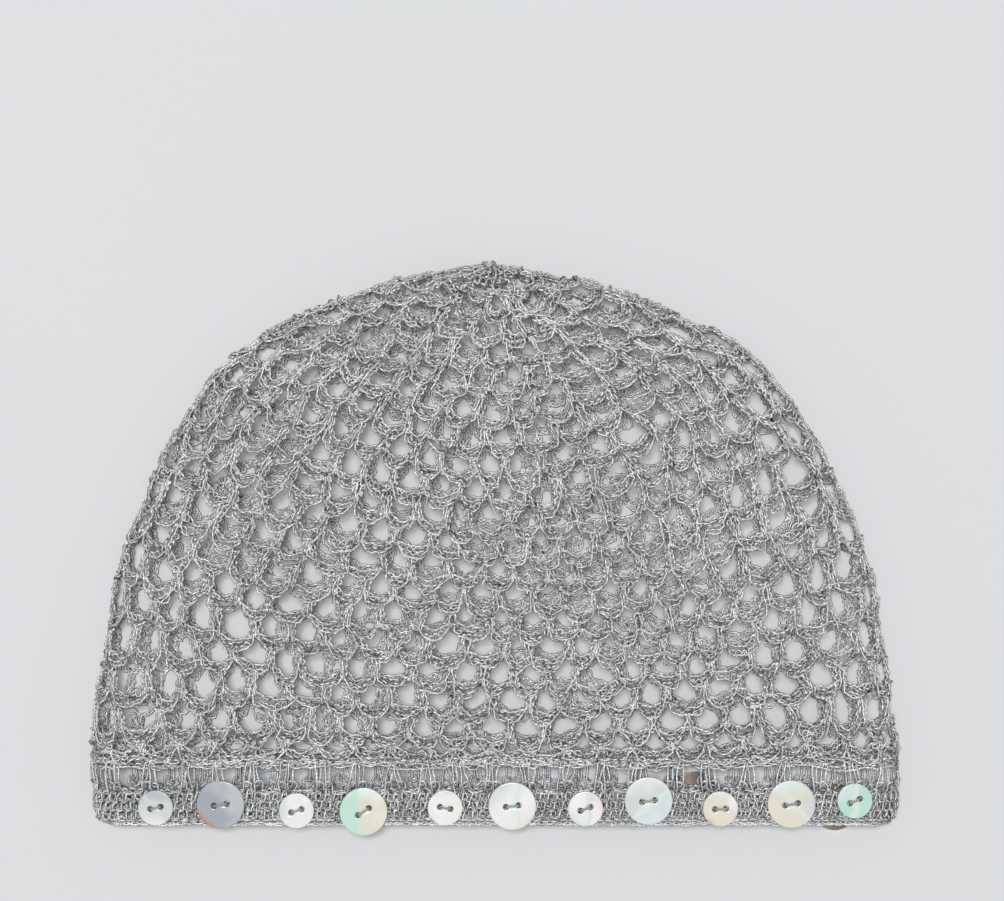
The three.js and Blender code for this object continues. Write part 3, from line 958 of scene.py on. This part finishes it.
def new_group(name, inputs, outputs):
    group = bpy.data.node_groups.new(name, "ShaderNodeTree")
    for label, kind, default in inputs:
        socket = group.interface.new_socket(label, in_out="INPUT", socket_type=kind)
        socket.default_value = default
    for label, kind in outputs:
        group.interface.new_socket(label, in_out="OUTPUT", socket_type=kind)
    return group, group.nodes.new("NodeGroupInput"), group.nodes.new("NodeGroupOutput")


class Graph:
    """Short ways to add linked nodes to a node tree."""

    def __init__(self, tree):
        self.tree = tree

    def node(self, kind, **settings):
        made = self.tree.nodes.new(kind)
        for name, value in settings.items():
            setattr(made, name, value)
        return made

    def plug(self, value, socket):
        if isinstance(value, bpy.types.NodeSocket):
            self.tree.links.new(value, socket)
        else:
            socket.default_value = value

    def math(self, operation, first, second=0.0, third=0.0):
        made = self.node("ShaderNodeMath", operation=operation)
        for value, socket in zip((first, second, third), made.inputs):
            self.plug(value, socket)
        return made.outputs[0]

    def mix(self, share, first, second, blend="MIX"):
        made = self.node("ShaderNodeMix", data_type="RGBA", blend_type=blend)
        self.plug(share, made.inputs[0])
        self.plug(first, made.inputs[6])
        self.plug(second, made.inputs[7])
        return made.outputs[2]

    def noise(self, place, scale, detail=2.0, roughness=0.5):
        made = self.node("ShaderNodeTexNoise")
        self.plug(place, made.inputs["Vector"])
        made.inputs["Scale"].default_value = scale
        made.inputs["Detail"].default_value = detail
        made.inputs["Roughness"].default_value = roughness
        return made.outputs["Fac"]

    def span(self, value, low, high, new_low, new_high):
        made = self.node("ShaderNodeMapRange", interpolation_type="SMOOTHSTEP")
        for number, socket in zip((value, low, high, new_low, new_high), made.inputs):
            self.plug(number, socket)
        return made.outputs[0]


def build_twist(name):
    """Twisted plies along a yarn: pale on their crowns, with painted shade darkening the grooves between them.
    """
    inputs = (
        ("Colour", "NodeSocketColor", (0.5, 0.5, 0.5, 1.0)),
        ("Painted Groove Shade", "NodeSocketColor", (0.2, 0.2, 0.2, 1.0)),
        ("Plies", "NodeSocketFloat", 2.0),
        ("Flecks", "NodeSocketFloat", 0.3),
    )
    outputs = (
        ("Base Color", "NodeSocketColor"),
        ("Roughness", "NodeSocketFloat"),
        ("Height", "NodeSocketFloat"),
    )
    group, given, made = new_group(name, inputs, outputs)
    graph = Graph(group)
    marks = graph.node("ShaderNodeUVMap", uv_map="yarn").outputs[0]
    split = graph.node("ShaderNodeSeparateXYZ")
    graph.plug(marks, split.inputs[0])
    place = graph.node("ShaderNodeTexCoord").outputs["Object"]
    around = graph.math("ADD", split.outputs[0], split.outputs[1])
    turns = graph.math("MULTIPLY", around, graph.math("MULTIPLY", given.outputs["Plies"], math.pi))
    crown = graph.math("ABSOLUTE", graph.math("SINE", turns))
    flecks = graph.span(graph.noise(place, 420.0), 0.35, 0.65, 0.0, 1.0)
    patches = graph.span(graph.noise(place, 55.0), 0.35, 0.65, -0.06, 0.06)
    # Painted shade: the colour darkens from the ply crowns into the grooves between them
    shade = graph.span(crown, 0.0, 0.75, 0.0, 1.0)
    mixed = graph.mix(shade, given.outputs["Painted Groove Shade"], given.outputs["Colour"])
    flecked = graph.math("MULTIPLY", graph.math("SUBTRACT", flecks, 0.5), given.outputs["Flecks"])
    bright = graph.math("ADD", graph.math("ADD", flecked, 1.0), patches)
    scaled = graph.node("ShaderNodeVectorMath", operation="SCALE")
    graph.plug(mixed, scaled.inputs[0])
    graph.plug(bright, scaled.inputs["Scale"])
    graph.plug(scaled.outputs[0], made.inputs["Base Color"])
    graph.plug(graph.span(flecks, 0.0, 1.0, 0.66, 0.52), made.inputs["Roughness"])
    graph.plug(crown, made.inputs["Height"])
    return group


def build_nacre(name):
    """Mother-of-pearl: soft clouds of two tints, a streak across the face and growth bands."""
    inputs = [
        ("Base", "NodeSocketColor", (0.7, 0.7, 0.7, 1.0)),
        ("Bands", "NodeSocketFloat", 0.15),
        ("Seed", "NodeSocketFloat", 0.0),
    ]
    for tint in NACRE_TINTS:
        inputs += [
            (f"{tint} Colour", "NodeSocketColor", (0.7, 0.8, 0.8, 1.0)),
            (f"{tint} Way", "NodeSocketVector", (0.0, 1.0, 0.0)),
            (f"{tint} Place", "NodeSocketFloat", 0.2),
            (f"{tint} Width", "NodeSocketFloat", 0.2),
        ]
    outputs = (
        ("Base Color", "NodeSocketColor"),
        ("Roughness", "NodeSocketFloat"),
        ("Height", "NodeSocketFloat"),
    )
    group, given, made = new_group(name, inputs, outputs)
    graph = Graph(group)
    marks = graph.node("ShaderNodeUVMap", uv_map="face").outputs[0]
    centred = graph.node("ShaderNodeVectorMath", operation="SUBTRACT")
    graph.plug(marks, centred.inputs[0])
    centred.inputs[1].default_value = (0.5, 0.5, 0.0)
    shifted = graph.node("ShaderNodeCombineXYZ")
    graph.plug(given.outputs["Seed"], shifted.inputs[2])
    place = graph.node("ShaderNodeVectorMath", operation="ADD")
    graph.plug(centred.outputs[0], place.inputs[0])
    graph.plug(shifted.outputs[0], place.inputs[1])
    cloud = graph.noise(place.outputs[0], 2.6, 1.0, 0.4)
    colour = given.outputs["Base"]
    for tint in NACRE_TINTS:
        along = graph.node("ShaderNodeVectorMath", operation="DOT_PRODUCT")
        graph.plug(centred.outputs[0], along.inputs[0])
        graph.plug(given.outputs[f"{tint} Way"], along.inputs[1])
        reach = graph.math("MULTIPLY_ADD", graph.math("SUBTRACT", cloud, 0.5), 0.4, along.outputs["Value"])
        reach = graph.math("SUBTRACT", reach, given.outputs[f"{tint} Place"])
        reach = graph.math("DIVIDE", reach, given.outputs[f"{tint} Width"])
        if tint == "Streak":
            share = graph.span(graph.math("ABSOLUTE", reach), 0.0, 1.4, 1.0, 0.0)
        else:
            share = graph.span(reach, -1.0, 1.0, 0.0, 1.0)
        colour = graph.mix(share, colour, given.outputs[f"{tint} Colour"])
    bands = graph.node("ShaderNodeTexWave", bands_direction="DIAGONAL")
    graph.plug(place.outputs[0], bands.inputs["Vector"])
    bands.inputs["Scale"].default_value = 2.6
    bands.inputs["Distortion"].default_value = 7.0
    bands.inputs["Detail"].default_value = 2.0
    bands.inputs["Detail Scale"].default_value = 1.6
    glow = graph.node("ShaderNodeValToRGB")
    glow.color_ramp.elements[0].color = (0.86, 1.0, 0.98, 1.0)
    glow.color_ramp.elements[1].color = (1.0, 0.9, 0.92, 1.0)
    middle = glow.color_ramp.elements.new(0.5)
    middle.color = (1.0, 1.0, 0.9, 1.0)
    graph.plug(bands.outputs["Fac"], glow.inputs["Fac"])
    share = graph.math("MULTIPLY", given.outputs["Bands"], 4.0)
    colour = graph.mix(share, colour, graph.mix(1.0, colour, glow.outputs["Color"], "MULTIPLY"))
    lit = graph.node("ShaderNodeVectorMath", operation="SCALE")
    graph.plug(colour, lit.inputs[0])
    lit.inputs["Scale"].default_value = 1.13
    graph.plug(lit.outputs[0], made.inputs["Base Color"])
    graph.plug(graph.span(cloud, 0.3, 0.7, 0.14, 0.26), made.inputs["Roughness"])
    graph.plug(bands.outputs["Fac"], made.inputs["Height"])
    return group


def new_material(name):
    material = bpy.data.materials.new(name)
    material.use_nodes = True
    return material, material.node_tree.nodes["Principled BSDF"]


def bump(material, shader, height, strength, distance):
    node = material.node_tree.nodes.new("ShaderNodeBump")
    node.inputs["Strength"].default_value = strength
    node.inputs["Distance"].default_value = distance
    material.node_tree.links.new(height, node.inputs["Height"])
    material.node_tree.links.new(node.outputs["Normal"], shader.inputs["Normal"])


def twisted_material(name, colour, painted_groove_shade, plies, flecks, metallic):
    if name in bpy.data.materials:
        return bpy.data.materials[name]
    material, shader = new_material(name)
    twist = group_node(material, "Yarn Twist", build_twist)
    twist.inputs["Colour"].default_value = (*colour, 1.0)
    twist.inputs["Painted Groove Shade"].default_value = (*painted_groove_shade, 1.0)
    twist.inputs["Plies"].default_value = plies
    twist.inputs["Flecks"].default_value = flecks
    links = material.node_tree.links
    graph = Graph(material.node_tree)
    # Painted shade: the colour is multiplied towards dark grey where a strand turns away from the camera,
    # darkening each strand's edges
    slant = graph.node("ShaderNodeLayerWeight")
    slant.inputs["Blend"].default_value = 0.5
    painted_edge_shade = (0.12, 0.12, 0.125, 1.0)
    colour = graph.mix(slant.outputs["Facing"], twist.outputs["Base Color"], painted_edge_shade, "MULTIPLY")
    links.new(colour, shader.inputs["Base Color"])
    links.new(twist.outputs["Roughness"], shader.inputs["Roughness"])
    shader.inputs["Metallic"].default_value = metallic
    shader.inputs["Specular IOR Level"].default_value = 0.4
    bump(material, shader, twist.outputs["Height"], 0.35, 0.0001)
    return material


def yarn_material(work):
    return twisted_material("shiny grey yarn", work.colour, work.shade, 2.0, 0.35, 0.35)


def thread_material():
    # The second colour is painted shade for the grooves between the thread's plies
    return twisted_material("sewing thread", (0.6, 0.57, 0.52), (0.42, 0.39, 0.35), 3.0, 0.15, 0.0)


def srgb(red, green, blue):
    """A colour as seen, from 0 to 255, as shader values."""
    shares = [value / 255 for value in (red, green, blue)]
    return tuple(s / 12.92 if s <= 0.04045 else ((s + 0.055) / 1.055) ** 2.4 for s in shares) + (1.0,)


NACRE_TINTS = ("First", "Second", "Streak")

# How wide a tint's soft edge and a streak are, as shares of the button, and how strong the bands are
TINT_WIDTH = 0.2
STREAK_WIDTH = 0.1
BAND_STRENGTH = 0.06

# Common tints of mother-of-pearl and of a shell's outer skin, as seen, from 0 to 255
PEARL = {
    "white": (230, 230, 230),
    "silver": (205, 210, 210),
    "grey": (180, 185, 190),
    "slate": (160, 165, 175),
    "green": (185, 220, 205),
    "mist": (215, 225, 220),
    "sky": (210, 220, 225),
    "cream": (220, 215, 200),
    "blush": (230, 215, 220),
    "sand": (190, 165, 140),
    "copper": (190, 130, 95),
    "brown": (130, 115, 95),
    "umber": (95, 80, 65),
}
WAYS = {
    "right": (1.0, 0.0),
    "upper right": (0.7, 0.7),
    "up": (0.0, 1.0),
    "upper left": (-0.7, 0.7),
    "left": (-1.0, 0.0),
    "lower left": (-0.7, -0.7),
    "down": (0.0, -1.0),
    "lower right": (0.7, -0.7),
}

# Each front button: its base, then two tints and a streak, each with its way and place along it
SHELLS = (
    ("silver", ("grey", "up", 0.2), ("white", "down", 0.3), ("silver", "upper right", 0.0)),
    ("slate", ("grey", "right", 0.2), ("grey", "up", 0.3), ("copper", "lower left", 0.5)),
    ("white", ("blush", "upper right", 0.3), ("silver", "left", 0.3), ("white", "lower right", 0.0)),
    ("cream", ("green", "left", 0.1), ("mist", "up", 0.3), ("green", "left", 0.2)),
    ("white", ("silver", "up", 0.4), ("cream", "right", 0.4), ("white", "up", 0.0)),
    ("white", ("silver", "upper left", 0.3), ("cream", "lower right", 0.4), ("mist", "right", 0.1)),
    ("white", ("blush", "upper right", 0.3), ("silver", "lower left", 0.4), ("sky", "right", 0.1)),
    ("silver", ("sky", "lower right", 0.2), ("white", "up", 0.3), ("mist", "lower right", 0.1)),
    ("cream", ("sand", "lower left", 0.5), ("white", "upper right", 0.3), ("cream", "down", 0.2)),
    ("cream", ("mist", "up", 0.3), ("silver", "right", 0.3), ("mist", "upper right", 0.0)),
    ("green", ("sky", "upper left", 0.3), ("green", "lower right", 0.3), ("mist", "right", 0.0)),
)

# The shell's outer skin, brown on some buttons and pale on most
DARK_SKIN = ("brown", ("umber", "upper right", 0.1), ("sand", "left", 0.2), ("umber", "lower right", 0.1))
PALE_SKIN = ("grey", ("slate", "upper right", 0.1), ("silver", "left", 0.2), ("sand", "lower right", 0.1))
DARK_BACKS = ("button_back_09", "button_back_11")


def skin_material(dark):
    name = "brown shell skin" if dark else "pale shell skin"
    made = bpy.data.materials.get(name)
    return made or nacre_material(name, DARK_SKIN if dark else PALE_SKIN, 3.0)


def shell_material(name):
    number = int(name[-2:])
    front = "front" in name
    shell = SHELLS[number - 1] if front else SHELLS[(number * 4) % 11]
    return nacre_material(name.replace("button", "nacre"), shell, number * 1.7 + (0 if front else 30))


def nacre_material(name, shell, seed):
    base, *tints = shell
    material, shader = new_material(name)
    nacre = group_node(material, "Nacre", build_nacre)
    nacre.inputs["Bands"].default_value = BAND_STRENGTH
    nacre.inputs["Base"].default_value = srgb(*PEARL[base])
    nacre.inputs["Seed"].default_value = seed
    for kind, (tint, way, place) in zip(NACRE_TINTS, tints):
        nacre.inputs[f"{kind} Colour"].default_value = srgb(*PEARL[tint])
        nacre.inputs[f"{kind} Way"].default_value = (*WAYS[way], 0.0)
        nacre.inputs[f"{kind} Place"].default_value = place
        nacre.inputs[f"{kind} Width"].default_value = STREAK_WIDTH if kind == "Streak" else TINT_WIDTH
    links = material.node_tree.links
    links.new(nacre.outputs["Base Color"], shader.inputs["Base Color"])
    links.new(nacre.outputs["Roughness"], shader.inputs["Roughness"])
    shader.inputs["Coat Weight"].default_value = 0.6
    shader.inputs["Coat Roughness"].default_value = 0.06
    bump(material, shader, nacre.outputs["Height"], 0.1, 0.00006)
    return material


class SKULLCAP_OT_stage(bpy.types.Operator):
    """Lay the pale floor, the soft light and the camera that looks straight down"""

    bl_idname = "skullcap.stage"
    bl_label = "Floor, Light and Camera"

    def execute(self, context):
        stage = context.scene.stage_settings
        bpy.ops.object.select_all(action="DESELECT")
        bpy.ops.mesh.primitive_plane_add(size=6.0)
        floor = context.active_object
        floor.name = "pale_floor"
        material, shader = new_material("pale floor")
        tree = Graph(material.node_tree)
        place = tree.node("ShaderNodeTexCoord").outputs["Object"]
        shade = tree.span(tree.noise(place, 3.0), 0.3, 0.7, 0.0, 1.0)
        pale = (*stage.floor_colour, 1.0)
        paler = (*(value * 1.01 for value in stage.floor_colour), 1.0)
        tree.plug(tree.mix(shade, pale, paler), shader.inputs["Base Color"])
        shader.inputs["Roughness"].default_value = 0.9
        shader.inputs["Specular IOR Level"].default_value = 0.1
        floor.data.materials.append(material)
        self.add_light(context, stage)
        self.add_camera(context, stage)
        return {"FINISHED"}

    def add_light(self, context, stage):
        world = bpy.data.worlds.new("studio")
        world.use_nodes = True
        background = world.node_tree.nodes["Background"]
        background.inputs["Color"].default_value = (0.985, 0.99, 1.0, 1.0)
        background.inputs["Strength"].default_value = stage.sky
        context.scene.world = world
        lamp = bpy.data.lights.new("softbox", "AREA")
        lamp.shape = "SQUARE"
        lamp.size = stage.lamp_size
        lamp.energy = stage.lamp_power
        softbox = bpy.data.objects.new("softbox", lamp)
        middle = CAP_CORNER + np.array([0.0, context.scene.cap_form.height / 2, 0.0])
        softbox.location = (middle[0] - stage.lamp_left, middle[1] + stage.lamp_back, stage.lamp_height)
        aim = Vector(middle.tolist()) - Vector(softbox.location)
        softbox.rotation_euler = aim.to_track_quat("-Z", "Y").to_euler()
        context.scene.collection.objects.link(softbox)

    def add_camera(self, context, stage):
        view = bpy.data.cameras.new("camera")
        view.lens = stage.lens
        view.sensor_width = 36.0
        view.clip_end = 20.0
        camera = bpy.data.objects.new("camera", view)
        right = (PHOTO_CENTRE[0] - PHOTO_RIM[0]) * PIXEL
        upward = (PHOTO_RIM[1] - PHOTO_CENTRE[1]) * PIXEL
        above = PHOTO_WIDTH * PIXEL / view.sensor_width * view.lens + stage.focus_height
        camera.location = (CAP_CORNER[0] + right, CAP_CORNER[1] + upward, above)
        context.scene.collection.objects.link(camera)
        context.scene.camera = camera
        context.scene.view_settings.view_transform = "Standard"


class SKULLCAP_PT_panel(bpy.types.Panel):
    """The skullcap's pieces and the stage"""

    bl_idname = "SKULLCAP_PT_panel"
    bl_label = "Skullcap"
    bl_space_type = "VIEW_3D"
    bl_region_type = "UI"
    bl_category = "Skullcap"

    def draw(self, context):
        for step in STEPS:
            self.layout.operator(step.bl_idname)
        for name in SETTINGS:
            box = self.layout.box()
            settings = getattr(context.scene, name)
            for item in settings.bl_rna.properties:
                if item.identifier not in ("rna_type", "name"):
                    box.prop(settings, item.identifier)


STEPS = (
    SKULLCAP_OT_stage,
    SKULLCAP_OT_net,
    SKULLCAP_OT_posts,
    SKULLCAP_OT_band,
    SKULLCAP_OT_edge,
    SKULLCAP_OT_centre,
    SKULLCAP_OT_buttons,
    SKULLCAP_OT_threads,
)
SETTINGS = {
    "cap_form": CapForm,
    "crochet_work": CrochetWork,
    "shell_buttons": ShellButtons,
    "stage_settings": StageSettings,
}
CLASSES = (*SETTINGS.values(), *STEPS, SKULLCAP_PT_panel)


def register():
    for item in CLASSES:
        bpy.utils.register_class(item)
    for name, kind in SETTINGS.items():
        setattr(bpy.types.Scene, name, bpy.props.PointerProperty(type=kind))


def unregister():
    for name in SETTINGS:
        delattr(bpy.types.Scene, name)
    for item in reversed(CLASSES):
        bpy.utils.unregister_class(item)


def main():
    register()
    bpy.ops.skullcap.stage()
    bpy.ops.skullcap.net()
    bpy.ops.skullcap.posts()
    bpy.ops.skullcap.band()
    bpy.ops.skullcap.edge()
    bpy.ops.skullcap.centre()
    bpy.ops.skullcap.buttons()
    bpy.ops.skullcap.threads()


if __name__ == "__main__":
    main()
